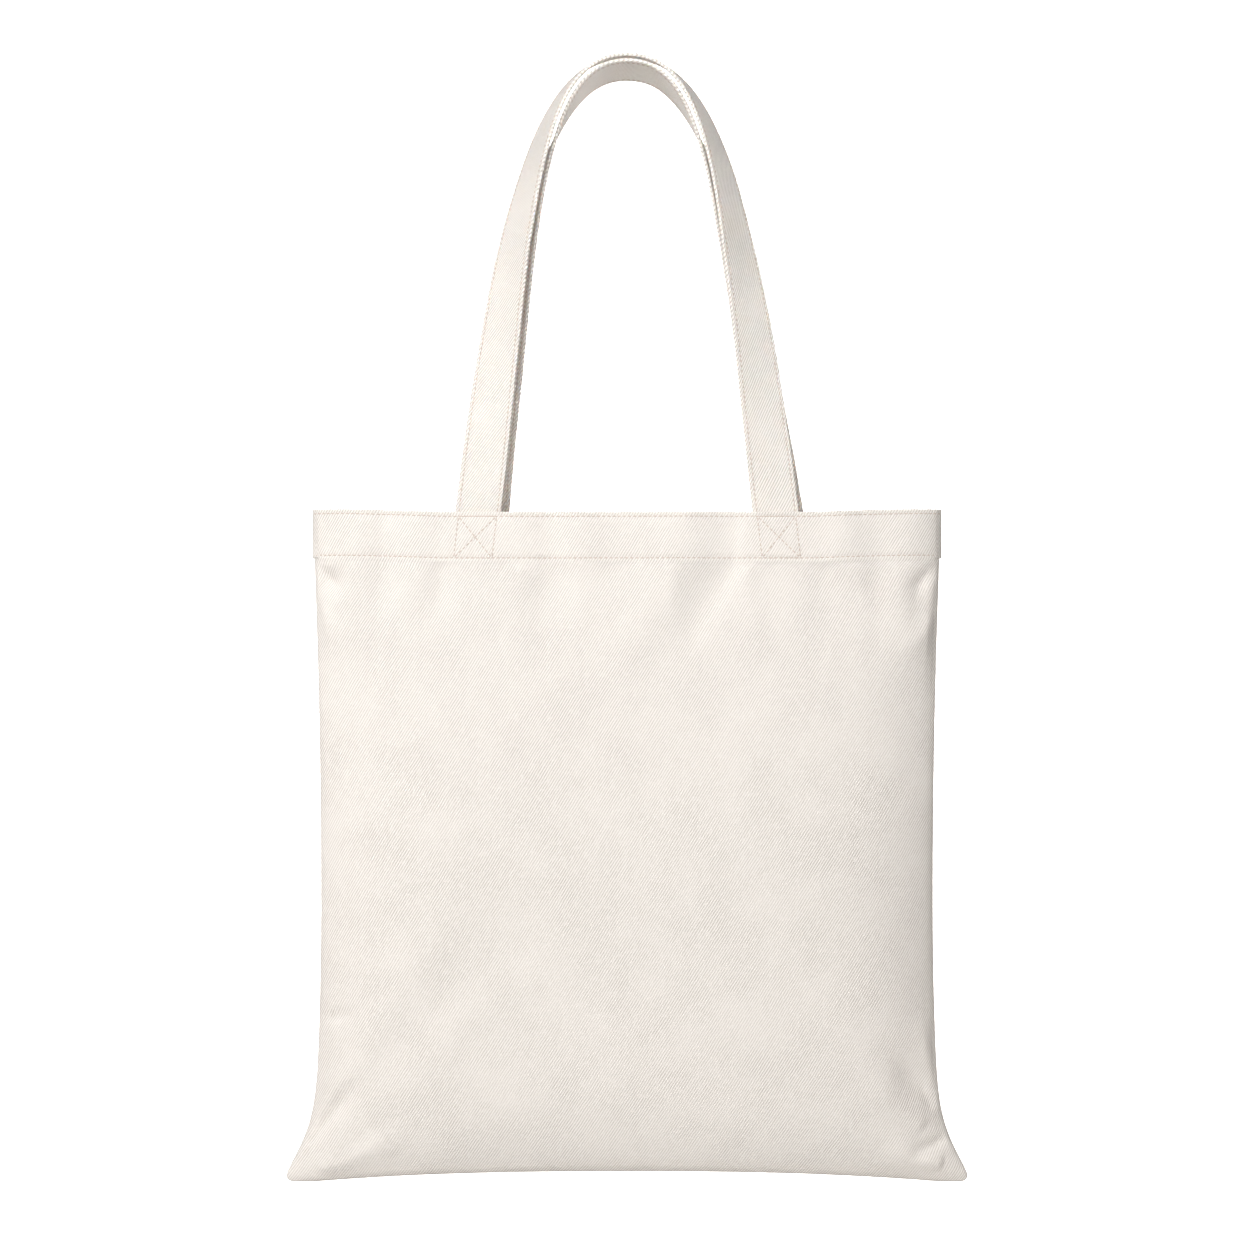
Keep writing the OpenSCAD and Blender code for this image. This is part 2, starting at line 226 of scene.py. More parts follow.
class Nodes:
    """Short calls for building one material's nodes."""

    def __init__(self, name):
        self.material = bpy.data.materials.new(name)
        self.material.use_nodes = True
        self.tree = self.material.node_tree
        self.shader = next(n for n in self.tree.nodes if n.type == "BSDF_PRINCIPLED")

    def put(self, socket, value):
        if isinstance(value, bpy.types.NodeSocket):
            self.tree.links.new(value, socket)
        elif value is not None:
            socket.default_value = value

    def math(self, op, a, b=None, c=None, clamp=False):
        node = self.tree.nodes.new("ShaderNodeMath")
        node.operation, node.use_clamp = op, clamp
        for socket, value in zip(node.inputs, (a, b, c)):
            self.put(socket, value)
        return node.outputs[0]

    def vector(self, op, a, b=None, out=0):
        node = self.tree.nodes.new("ShaderNodeVectorMath")
        node.operation = op
        self.put(node.inputs[0], a)
        self.put(node.inputs[1], b)
        return node.outputs[out]

    def attribute(self, name, out):
        node = self.tree.nodes.new("ShaderNodeAttribute")
        node.attribute_name = name
        return node.outputs[out]

    def noise(self, vector, scale, detail=2.0, rough=0.5, out="Fac"):
        node = self.tree.nodes.new("ShaderNodeTexNoise")
        self.put(node.inputs["Vector"], vector)
        node.inputs["Scale"].default_value = scale
        node.inputs["Detail"].default_value = detail
        node.inputs["Roughness"].default_value = rough
        return node.outputs[out]

    def voronoi(self, vector, scale, out):
        node = self.tree.nodes.new("ShaderNodeTexVoronoi")
        self.put(node.inputs["Vector"], vector)
        node.inputs["Scale"].default_value = scale
        return node.outputs[out]

    def mix(self, factor, a, b):
        node = self.tree.nodes.new("ShaderNodeMix")
        node.data_type = "RGBA"
        self.put(node.inputs[0], factor)
        self.put(node.inputs[6], a)
        self.put(node.inputs[7], b)
        return node.outputs[2]

    def bump(self, height, distance, strength):
        node = self.tree.nodes.new("ShaderNodeBump")
        self.put(node.inputs["Height"], height)
        node.inputs["Distance"].default_value = distance
        node.inputs["Strength"].default_value = strength
        return node.outputs[0]

    def wave(self, vector, direction):
        """0 to 1 along a direction; its length is the number of waves in a metre."""
        turns = self.vector("DOT_PRODUCT", vector, tuple(direction), out=1)
        sine = self.math("SINE", self.math("MULTIPLY", turns, 2 * math.pi))
        return self.math("MULTIPLY_ADD", sine, 0.5, 0.5)


TWILL_ANGLE = math.radians(58)
TWILL_PITCH = 1.45 * MM
YARN_PITCH = 0.72 * MM
CANVAS_COLOR = (0.872, 0.838, 0.803, 1)
# dark end of the canvas's colour mix: painted shade in the twill's grooves, and the weave's random tone
GROOVE_SHADE_AND_TONE_COLOR = (0.56, 0.52, 0.48, 1)
FLECK_COLOR = (0.33, 0.24, 0.16, 1)
FLECK_CELLS = 62                              # cells in a metre, of which a few hold a fleck


def canvas_material(name, color=CANVAS_COLOR, twill=1.0):
    m = Nodes(name)
    flat = m.attribute("weave", "Vector")
    wobble = m.vector("MULTIPLY", m.vector("SUBTRACT", m.noise(flat, 60, 3, out="Color"), (0.5, 0.5, 0.5)),
                      (0.0010, 0.0010, 0))
    cloth = m.vector("ADD", flat, wobble)
    rib = m.wave(cloth, (math.sin(TWILL_ANGLE) / TWILL_PITCH, -math.cos(TWILL_ANGLE) / TWILL_PITCH, 0))
    yarn = m.wave(cloth, (math.cos(TWILL_ANGLE) / YARN_PITCH, math.sin(TWILL_ANGLE) / YARN_PITCH, 0))
    warp = m.noise(m.vector("MULTIPLY", flat, (1, 0.10, 1)), 1500, 1)
    weft = m.noise(m.vector("MULTIPLY", flat, (0.12, 1, 1)), 1300, 1)
    patch = m.noise(flat, 34, 3, 0.6)
    broad = m.noise(flat, 7, 2)
    # the ribs show more in some places than in others, and are broken into short lengths
    strength = m.math("MULTIPLY_ADD", patch, 1.5, 0.02, clamp=True)
    broken = m.math("MULTIPLY_ADD", m.noise(flat, 310, 1), 2.4, -0.2, clamp=True)
    strength = m.math("MULTIPLY", strength, broken)
    ribbed = m.math("MULTIPLY", m.math("POWER", rib, 1.2), strength)
    height = m.math("ADD", m.math("MULTIPLY", ribbed, 0.9 * twill), m.math("MULTIPLY", yarn, 0.06))
    height = m.math("ADD", height, m.math("MULTIPLY", m.math("ADD", warp, weft), 0.12))
    # the grooves between the ribs are painted darker and the ribs lighter: painted shade and light of the
    # twill's relief, on top of its bump
    groove = m.math("MULTIPLY", m.math("SUBTRACT", 0.5, rib), strength)
    grain = m.math("SUBTRACT", m.math("ADD", warp, weft), 1.0)
    tone = m.math("MULTIPLY_ADD", groove, 1.5 * twill, 0.30)
    tone = m.math("ADD", tone, m.math("MULTIPLY", grain, 0.22))
    tone = m.math("ADD", tone, m.math("MULTIPLY_ADD", broad, 0.06, -0.03), clamp=True)
    base = m.mix(tone, color, GROOVE_SHADE_AND_TONE_COLOR)
    cell = m.voronoi(cloth, FLECK_CELLS, "Distance")
    cell_draw = m.vector("DOT_PRODUCT", m.voronoi(cloth, FLECK_CELLS, "Color"), (1, 0, 0), out=1)
    lucky = m.math("GREATER_THAN", cell_draw, 0.93)
    fleck = m.math("MULTIPLY", m.math("LESS_THAN", cell, 0.020), lucky)
    base = m.mix(m.math("MULTIPLY", fleck, 0.6), base, FLECK_COLOR)
    m.put(m.shader.inputs["Base Color"], base)
    m.put(m.shader.inputs["Roughness"], m.math("MULTIPLY_ADD", grain, 0.1, 0.9))
    m.shader.inputs["Sheen Weight"].default_value = 0.12
    m.shader.inputs["Sheen Roughness"].default_value = 0.5
    m.shader.inputs["Specular IOR Level"].default_value = 0.2
    m.put(m.shader.inputs["Normal"], m.bump(height, 0.22 * MM, 0.9))
    return m.material


def thread_material(name, color, twist_pitch=0.5 * MM):
    """Twisted thread; its weave attribute runs along the thread in x and round it in y."""
    m = Nodes(name)
    flat = m.attribute("weave", "Vector")
    twist = m.wave(flat, (1 / twist_pitch, 1 / (2 * math.pi * THREAD_R) * 2, 0))
    fuzz = m.noise(flat, 900, 2)
    # darker between the twist's turns: painted shade, with random tone from the fuzz noise
    twist_shade_and_fuzz_color = tuple(0.68 * c for c in color[:3]) + (1,)
    tone = m.math("ADD", m.math("MULTIPLY", twist, 0.7), m.math("MULTIPLY", fuzz, 0.3), clamp=True)
    m.put(m.shader.inputs["Base Color"], m.mix(tone, twist_shade_and_fuzz_color, color))
    m.put(m.shader.inputs["Roughness"], m.math("MULTIPLY_ADD", fuzz, 0.2, 0.6))
    m.shader.inputs["Sheen Weight"].default_value = 0.1
    m.put(m.shader.inputs["Normal"], m.bump(twist, 0.06 * MM, 0.7))
    return m.material


canvas = canvas_material("canvas_twill")
strap_canvas = canvas_material("strap_twill", twill=1.15)
strap_shader = next(n for n in strap_canvas.node_tree.nodes if n.type == "BSDF_PRINCIPLED")
strap_shader.inputs["Subsurface Weight"].default_value = 0.28
strap_shader.inputs["Subsurface Radius"].default_value = (1.0, 0.7, 0.5)
strap_shader.inputs["Subsurface Scale"].default_value = 3 * MM
# darker and pinker than the canvas: painted shade of the stitch holes over the thread's natural colour
thread = thread_material("sewing_thread", (0.70, 0.59, 0.515, 1))
overlock_thread = thread_material("overlock_thread", (0.82, 0.775, 0.72, 1))


def finish_piece(obj, material, body="bag", nodes=()):
    obj.data.materials.append(material)
    if body:
        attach(obj, body)
    if nodes:
        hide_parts(*nodes)
    return obj


# ---------- the two panels ----------

COLUMNS = 300
BODY_ROWS = 190
FLAT_HALF = 205 * MM                          # half a panel's cut width, without its allowances
# least distances of the middles of the hem's outer and inner layers from the bag's middle plane
OUTER_Y = 0.62 * MM
INNER_Y = 0.47 * MM
LINE_WIDTH = 0.9 * MM                         # half width of the dent along a line of stitches
TURN_IN = np.array([[0.0, 0.62], [0.22, 0.5], [0.9, 0.47], [2.4, 0.46]]) * MM   # past the side fold


def rows_along_body():
    """Heights of the body's rows: close at the bottom seam and at the stitch lines."""
    t = np.linspace(0, 1, BODY_ROWS)
    low = (HEM_LOW - 4 * MM) * (0.35 * t + 0.65 * t ** 1.5)
    hem = np.arange(HEM_LOW - 3.4 * MM, MOUTH_H - 0.45 * MM, 0.62 * MM)
    return np.concatenate([low, hem])


def soft_noise(x, z, seed, scale):
    values = [noise.noise(Vector((a * scale, b * scale, seed))) for a, b in zip(x.ravel(), z.ravel())]
    return np.array(values).reshape(x.shape)


def ridge(x, z, start, end, width, height, fade=0.5):
    """A soft fold along a line from start to end, in the XH plane."""
    a, b = np.array(start), np.array(end)
    d = b - a
    length = np.linalg.norm(d)
    d = d / length
    along = ((x - a[0]) * d[0] + (z - a[1]) * d[1]) / length
    off = (x - a[0]) * -d[1] + (z - a[1]) * d[0]
    spread = width * (0.6 + 0.8 * clamp01(along))
    ends = smooth(along / 0.12 + 0.4) * (1 - smooth((along - fade) / (1 - fade)))
    return height * np.exp(-(off / spread) ** 2) * ends


def dent(x, h, at_x, at_h, width, height, amount):
    return amount * np.exp(-((x - at_x) / width) ** 2 - ((h - at_h) / height) ** 2)


# soft folds of the front, set from the photo: (start x, start h), (end x, end h), half width,
# height; mm
CORNER_FOLDS = [
    ((-192, 24), (-158, 66), 4.5, -2.0), ((-188, 40), (-158, 84), 6, 1.6),
    ((-186, 98), (-160, 104), 4.5, -1.6), ((-186, 8), (-130, 34), 8, 1.4),
    ((-176, 14), (-130, 50), 6, -1.0), ((194, 27), (164, 14), 4.5, -1.9),
    ((190, 12), (150, 22), 7, 1.8), ((187, 46), (156, 84), 7, -2.0),
    ((178, 34), (142, 66), 9, 1.4), ((188, 60), (174, 104), 5, 1.2)]
HEM_CORNER_FOLDS = [
    ((-188, 372), (-170, 352), 4, -2.2), ((-186, 352), (-174, 318), 5, 1.3),
    ((188, 372), (168, 354), 4.5, -2.4), ((184, 340), (158, 310), 7, 1.2)]
# vertical waves below the hem: x, length, half width, height; mm
HANGING_WAVES = [(-112, 60, 8, -1.2), (-66, 80, 9, 1.0), (-38, 62, 8, -1.1), (6, 70, 12, 0.9),
                 (26, 88, 9, 1.2), (72, 84, 9, 1.3), (118, 80, 10, -1.4), (138, 60, 8, 1.2)]
# waves of the whole hem, which the cloth below it follows: x, half widths to the left and right,
# height, and how far each drifts to the left where it runs out; mm
HEM_WAVES = [(-166, 10, 10, 1.1, 8), (-146, 8, 8, -1.9, 8), (-124, 9, 9, 1.2, 8), (-46, 9, 9, -2.0, 8),
             (-26, 9, 9, 1.3, 8), (33, 20, 22, 3.4, 46), (64, 18, 9, -1.7, 46), (128, 10, 10, 1.1, 8),
             (152, 12, 12, -1.8, 8)]


def hem_wave(x, h, side):
    """The hem's waves and their run-out below it; none at the sides, or inwards where straps lie."""
    down = clamp01((HEM_LOW - h) / (85 * MM))
    x = x * -side
    wave = np.zeros_like(x)
    for at, left_w, right_w, height, drift in HEM_WAVES:
        middle = (at - drift * down) * MM
        width = np.where(x < middle, left_w, right_w) * MM * (1 - 0.55 * down)
        wave += height * MM * np.exp(-((x - middle) / width) ** 2)
    wave = wave * smooth((HALF_MOUTH - 6 * MM - np.abs(x)) / (14 * MM)) * (1 - smooth(down))
    clear = smooth((np.abs(np.abs(x) - STRAP_X - 2 * MM) - 19 * MM) / (8 * MM))
    return np.where(wave < 0, wave * clear, wave * (0.4 + 0.6 * clear))


def folds(x, h, side):
    """How far the cloth below the hem stands out. The back's broad folds are the front's, turned round."""
    s = -side
    edge = half_width(h)
    room = smooth((edge - np.abs(x)) / (9 * MM)) * smooth((h - bottom_edge(x)) / (9 * MM))
    lower = 1 - smooth((h - (HEM_LOW - 5 * MM)) / (6 * MM))
    out = 0.6 * MM * soft_noise(x, h, 3.1 * s, 9) + 0.3 * MM * soft_noise(x, h, 8.3 * s, 24)
    for x0, length, width, height in HANGING_WAVES:
        start, end = (s * x0 * MM, HEM_LOW + 2 * MM), (s * (x0 * 1.04 + 4) * MM, HEM_LOW - length * MM)
        out += ridge(x, h, start, end, width * MM, height * MM, 0.35)
    for start, end, width, height in CORNER_FOLDS + HEM_CORNER_FOLDS:
        out += ridge(x, h, (s * start[0] * MM, start[1] * MM), (s * end[0] * MM, end[1] * MM),
                     width * MM, height * MM)
    # the soft hollows over the right-hand corner and under the hem's ends, and a swell at its right
    out += dent(x, h, -s * 178 * MM, 364 * MM, 10 * MM, 7 * MM, -2.4 * MM)
    out += dent(x, h, s * 176 * MM, 352 * MM, 9 * MM, 16 * MM, -2.2 * MM)
    out += dent(x, h, s * 176 * MM, 338 * MM, 26 * MM, 30 * MM, 2.4 * MM)
    out += dent(x, h, s * 168 * MM, 56 * MM, 11 * MM, 13 * MM, -1.6 * MM)
    return out * room * lower


def box_corners(side, hand):
    """Corners (x, h) of a strap end's stitched box, in sewing order."""
    shift = BACK_SHIFT if side == BACK else 0
    half = STRAP_W / 2 - STITCH_INSET
    corners = []
    for h, ends in ((HEM_LOW + STITCH_INSET, (-1, 1)), (MOUTH_H - STITCH_INSET, (1, -1))):
        x = hand * STRAP_X + shift + hand * math.tan(STRAP_LEAN) * (MOUTH_H - h)
        corners += [(x + e * half, h) for e in ends]
    return corners


def box_lines(side, hand):
    a, b, c, d = box_corners(side, hand)
    return [(a, b), (b, c), (c, d), (d, a), (a, c), (b, d)]


def quilting(x, h, side):
    """The stitched boxes' dimples, and the cloth a little full between them."""
    out = np.zeros_like(x)
    for hand in (LEFT, RIGHT):
        for (x0, h0), (x1, h1) in box_lines(side, hand):
            d = np.array([x1 - x0, h1 - h0])
            along = clamp01(((x - x0) * d[0] + (h - h0) * d[1]) / (d @ d))
            off = np.hypot(x - x0 - along * d[0], h - h0 - along * d[1])
            out = np.minimum(out, -0.32 * MM * np.exp(-(off / (0.95 * MM)) ** 2))
        xs = [c[0] for c in box_corners(side, hand)]
        full = smooth((x - min(xs)) / (3 * MM)) * smooth((max(xs) - x) / (3 * MM))
        out = out + 0.25 * MM * full * smooth((h - HEM_LOW) / (3 * MM))
    return out


def body_grid(side):
    """A panel's middle surface, from the bottom seam up and over into the hem, with flat coordinates."""
    heights = rows_along_body()
    t = np.linspace(-1, 1, COLUMNS + 1)
    u = np.sign(t) * (1 - (1 - np.abs(t)) ** 1.35)
    uu, hh = np.meshgrid(u, heights)
    x = uu * half_width(hh)
    low = bottom_edge(x)
    rise = low + hh * (1 - low / (HEM_LOW - HEM_TURN))
    h = np.where(hh < HEM_LOW - HEM_TURN, rise, hh + mouth_rise(x))
    d = depth(uu, h, low) + CLOTH / 2
    n = grid_normals(np.stack([x, -d, h], -1))
    hem = smooth((hh - HEM_LOW + 1 * MM) / (1.5 * MM))
    stitched = (HEM_LOW + STITCH_INSET, MOUTH_H - STITCH_INSET)
    lines = sum(np.exp(-((hh - line) / LINE_WIDTH) ** 2) for line in stitched)
    near = sum(np.exp(-((hh - line) / (5 * MM)) ** 2) for line in stitched)
    pucker = (soft_noise(x, h, 5.5 + side, 95) * 0.35 * MM * near
              + soft_noise(x, h, 1.5 + side, 30) * 0.3 * MM * hem)
    out = (folds(x, h, side) + 0.35 * MM * hem - 0.35 * MM * lines + pucker
           + hem_wave(x, h, side) + quilting(x, h, side))
    p = np.stack([x, -d, h], -1) + n * out[..., None] * np.where(np.abs(uu) > 0.985, 0.2, 1)[..., None]
    p[..., 1] = np.minimum(p[..., 1], -OUTER_Y)
    p[0, :, 1] = -OUTER_Y
    # the cloth turns in at the side seams
    cols = []
    for hand, edge in ((LEFT, p[:, :1]), (RIGHT, p[:, -1:])):
        turned = [edge + np.array([-hand * a[0], 0, 0]) for a in TURN_IN[1:]]
        for k, piece in enumerate(turned):
            piece[..., 1] = -TURN_IN[k + 1][1]
        cols.append(np.concatenate(turned[::-1] if hand == LEFT else turned, 1))
    p = np.concatenate([cols[0], p, cols[1]], 1)
    # and at the bottom seam
    under = []
    for back_in, y in TURN_IN[:0:-1]:
        row = p[:1].copy()
        row[..., 2] += back_in
        row[..., 1] = -y
        under.append(row)
    p = np.concatenate(under + [p], 0)
    flat_h = np.concatenate([-TURN_IN[:0:-1, 0], heights])
    # round the mouth's edge and down inside
    top = p[-1]
    inward = np.array([0, 1.0, 0])
    turn = []
    radius = 0.5 * CLOTH
    for angle in np.linspace(0, math.pi, 7)[1:]:
        row = top + inward * radius * (1 - math.cos(angle)) + np.array([0, 0, radius * math.sin(angle)])
        turn.append(row[None])
    inside = []
    hem_rows = np.linspace(0, HEM_H - 1.2 * MM, 22)[1:]
    for down in hem_rows:
        line = (math.exp(-((down - STITCH_INSET) / LINE_WIDTH) ** 2)
                + math.exp(-((down - (HEM_H - STITCH_INSET)) / LINE_WIDTH) ** 2))
        inside.append((top + inward * (2 * radius - 0.12 * MM * line) - np.array([0, 0, down]))[None])
    p = np.concatenate([p] + turn + inside, 0)
    p[BODY_ROWS:, :, 1] = np.minimum(p[BODY_ROWS:, :, 1], -INNER_Y)
    flat_h = np.concatenate([flat_h, MOUTH_H + np.linspace(0, math.pi * radius, 7)[1:],
                             MOUTH_H + math.pi * radius + hem_rows])
    flat_u = np.concatenate([[-FLAT_HALF - a for a in TURN_IN[:0:-1, 0]], u * FLAT_HALF,
                             [FLAT_HALF + a for a in TURN_IN[1:, 0]]])
    fu, fh = np.meshgrid(flat_u, flat_h)
    flat = np.stack([fu, fh], -1)
    p[..., 2] += BOTTOM_Z
    return p, flat, flat_u, flat_h


def woven(points, flat_h, side):
    """Where each point lies in the weave: true lengths across from the middle and up from the bottom."""
    across = np.linalg.norm(np.diff(points, axis=1), axis=2)
    middle = points.shape[1] // 2
    run = np.concatenate([np.zeros((points.shape[0], 1)), np.cumsum(across, axis=1)], 1)
    run -= run[:, middle:middle + 1]
    rises = np.linalg.norm(np.diff(points[:, middle], axis=0), axis=1)
    up = np.concatenate([[0], np.cumsum(rises)])
    height = points[..., 2] - points[:, middle:middle + 1, 2] + up[:, None]
    over = flat_h > MOUTH_H
    last = int(np.argmax(over)) - 1
    height[over] = up[over][:, None] + (height[last] - up[last])[None]
    return np.stack([run, height, np.full_like(run, 0.1 * side)], -1)


SIM_COLUMNS, SIM_ROWS, SIM_FRAMES = 112, 104, 50
EXTRA_CLOTH = 0.004                           # how much wider the cloth is than the room it has
WRINKLE_SHARE = 0.6                           # the cloth has settled a little since


def drape(points, outward):
    """What a panel's cloth does, held at its seams and its hem, a little too wide, with air inside it."""
    rows, cols = points.shape[:2]
    obj = mesh_object("drape", points.reshape(-1, 3), grid_faces(rows, cols)[:, ::outward])
    edge = np.zeros((rows, cols), bool)
    edge[0] = edge[-1] = edge[:, 0] = edge[:, -1] = True
    group = obj.vertex_groups.new(name="held")
    group.add([int(i) for i in np.flatnonzero(edge)], 1.0, "REPLACE")
    cloth = obj.modifiers.new("cloth", "CLOTH")
    s = cloth.settings
    s.quality, s.mass, s.air_damping = 4, 0.001, 1.0
    s.vertex_group_mass = "held"
    s.tension_stiffness = s.compression_stiffness = 100
    s.shear_stiffness, s.bending_stiffness = 33, 1.5
    s.tension_damping = s.compression_damping = s.shear_damping = 5
    s.shrink_min = -EXTRA_CLOTH
    s.use_pressure = True
    s.uniform_pressure_force = 3.5
    s.effector_weights.gravity = 0.004        # each point really weighs far less than the least mass
    cloth.collision_settings.use_collision = False
    cloth.point_cache.frame_start, cloth.point_cache.frame_end = 1, SIM_FRAMES
    scene = bpy.context.scene
    for frame_number in range(1, SIM_FRAMES + 1):
        scene.frame_set(frame_number)
    done = obj.evaluated_get(bpy.context.evaluated_depsgraph_get())
    settled = np.empty(rows * cols * 3)
    done.data.vertices.foreach_get("co", settled)
    scene.frame_set(1)
    bpy.data.objects.remove(obj, do_unlink=True)
    return settled.reshape(rows, cols, 3) - points


def smooth_grid(grid, times):
    for _ in range(times):
        padded = np.pad(grid, ((1, 1), (1, 1), (0, 0)), mode="edge")
        grid = (padded[:-2, 1:-1] + padded[2:, 1:-1] + padded[1:-1, :-2] + padded[1:-1, 2:] + 4 * grid) / 8
    return grid


class Cloth:
    """A panel's middle surface, where stitches and bands find their places by flat coordinates."""

    def __init__(self, side):
        self.side = side
        self.points, self.flat, self.flat_u, self.flat_h = body_grid(side)
        if side == BACK:
            self.points[..., 1] *= -1
        self.settle()
        self.weave = woven(self.points, self.flat_h, side)
        self.normals = grid_normals(self.points) * (1 if side == FRONT else -1)

    def settle(self):
        """Drape the part below the hem and take over its wrinkles, clear of the allowances inside."""
        top = HEM_LOW - 1 * MM
        u = np.linspace(-FLAT_HALF, FLAT_HALF, SIM_COLUMNS)
        h = np.linspace(0, top, SIM_ROWS)
        uu, hh = np.meshgrid(u, h)
        start, _ = self.place(self.points, uu, hh)
        moved = drape(start, -self.side)
        moved = WRINKLE_SHARE * (smooth_grid(moved, 12) - smooth_grid(moved, 110))
        c = np.interp(self.flat[..., 0], u, np.arange(SIM_COLUMNS))
        r = np.interp(self.flat[..., 1], h, np.arange(SIM_ROWS))
        field = resample(moved, r, c)
        body = (self.flat_h >= 0) & (self.flat_h <= top)
        inside = body[:, None] & (np.abs(self.flat[..., 0]) <= FLAT_HALF)
        edge = np.minimum(FLAT_HALF - np.abs(self.flat[..., 0]), self.flat[..., 1])
        fade = smooth(edge / (8 * MM)) * smooth((top - self.flat[..., 1]) / (20 * MM))
        field *= (inside * fade)[..., None]
        shift = field[..., 1] * self.side
        y = np.abs(self.points[..., 1])
        shift = np.where(shift < 0, np.maximum(shift, -0.4 * y), shift)
        self.points[..., 0] += 0.5 * field[..., 0]
        self.points[..., 2] += 0.5 * field[..., 2]
        self.points[..., 1] += shift * self.side

    def place(self, grid, u, h):
        cols = np.interp(u, self.flat_u, np.arange(len(self.flat_u)))
        rows = np.interp(h, self.flat_h, np.arange(len(self.flat_h)))
        return resample(grid, rows, cols), (rows, cols)

    def at(self, u, h):
        """Points on the middle surface and its outward directions, at flat coordinates."""
        p, (rows, cols) = self.place(self.points, u, h)
        n = resample(self.normals, rows, cols)
        return p, n / np.linalg.norm(n, axis=-1, keepdims=True)

    def flat_of_x(self, x, h):
        """The flat coordinate across at which the cloth has a given X, at a height above the corners."""
        row = int(np.argmin(np.abs(self.flat_h - h)))
        xs = self.points[row, 3:-3, 0]
        return np.interp(x, xs, self.flat_u[3:-3])

    def build(self):
        grid = self.points if self.side == FRONT else self.points[:, ::-1]
        weave = self.weave if self.side == FRONT else self.weave[:, ::-1]
        obj = thick_sheet(SIDE_NAMES[self.side] + "_canvas", grid, weave, CLOTH * 0.9)
        finish_piece(obj, canvas, nodes=[SIDE_NAMES[self.side] + "_panel"])
        return obj


# ---------- stitches ----------

CAPSULE_SIDES = 7
# a stitch's outline: place along it as a share of its length, and radius as a share of the thread's
CAPSULE = np.array([(-0.5, 0.25), (-0.44, 0.75), (-0.25, 1.0), (0.0, 1.06),
                    (0.25, 1.0), (0.44, 0.75), (0.5, 0.25)])


def stitch_mesh(name, centres, along, out, length, radius=THREAD_R, sunk=THREAD_SUNK):
    """One rounded stitch for each centre; its ends dip into the cloth."""
    centres, along, out = (np.asarray(a, float) for a in (centres, along, out))
    along = along / np.linalg.norm(along, axis=1, keepdims=True)
    side = np.cross(out, along)
    side /= np.linalg.norm(side, axis=1, keepdims=True)
    up = np.cross(along, side)
    angle = np.arange(CAPSULE_SIDES) * 2 * math.pi / CAPSULE_SIDES
    rings = len(CAPSULE)
    n = len(centres)
    lengths = np.broadcast_to(length, n)[:, None, None, None]
    s = CAPSULE[:, 0][None, :, None, None]
    r = (CAPSULE[:, 1] * radius)[None, :, None, None]
    dip = (radius * (1 - sunk) - 2.2 * radius * (2 * np.abs(CAPSULE[:, 0])) ** 3)[None, :, None, None]
    ca, sa = np.cos(angle)[None, None, :, None], np.sin(angle)[None, None, :, None]
    a, b, c = (v[:, None, None, :] for v in (along, side, up))
    p = centres[:, None, None, :] + a * s * lengths + b * r * ca + c * (r * sa + dip)
    weave = np.zeros_like(p)
    weave[..., 0] = s[..., 0] * lengths[..., 0] + rng.random(n)[:, None, None]
    weave[..., 1] = (angle * radius)[None, None, :]
    one = grid_faces(rings, CAPSULE_SIDES, wrap=True)
    block = rings * CAPSULE_SIDES
    faces = (one[None] + (np.arange(n) * block)[:, None, None]).reshape(-1, 4).tolist()
    for k in range(n):
        faces.append([k * block + i for i in range(CAPSULE_SIDES)][::-1])
        faces.append([k * block + (rings - 1) * CAPSULE_SIDES + i for i in range(CAPSULE_SIDES)])
    return mesh_object(name, p.reshape(-1, 3), faces, weave.reshape(-1, 3))


def stitches_between(points, outs):
    """Centres, directions and outs of even stitches along a polyline."""
    points = np.asarray(points)
    run = np.concatenate([[0], np.cumsum(np.linalg.norm(np.diff(points, axis=0), axis=1))])
    count = max(1, int(round(run[-1] / STITCH_PITCH)))
    step = run[-1] / count
    mid = (np.arange(count) + 0.5) * step
    pick = lambda values, at: np.stack([np.interp(at, run, values[:, k]) for k in range(3)], -1)
    ahead = pick(points, mid + step * 0.3) - pick(points, mid - step * 0.3)
    jitter = 1 + 0.06 * rng.standard_normal(count)
    return pick(points, mid), ahead, pick(np.asarray(outs), mid), step * STITCH_SHARE * jitter


def sew(name, runs, body="bag", nodes=()):
    """A piece of all the stitches along several runs; each run is (points, outs)."""
    parts = [stitches_between(points, outs) for points, outs in runs]
    centres, along, outs, lengths = (np.concatenate([p[k] for p in parts]) for k in range(4))
    obj = stitch_mesh(name, centres, along, outs, lengths)
    return finish_piece(obj, thread, body, nodes)


# ---------- straps ----------

def half_curve(t):
    base = np.array([-STRAP_X, 0.0])
    leg = base + LEG_PULL * RISE * np.array([math.sin(STRAP_LEAN), math.cos(STRAP_LEAN)])
    arch = np.array([-ARCH_PULL * STRAP_X, RISE])
    top = np.array([0.0, RISE])
    s = 1 - t
    point = s ** 3 * base + 3 * s * s * t * leg + 3 * s * t * t * arch + t ** 3 * top
    slope = s * s * (leg - base) + 2 * s * t * (arch - leg) + t * t * (top - arch)
    return point, slope / np.linalg.norm(slope)


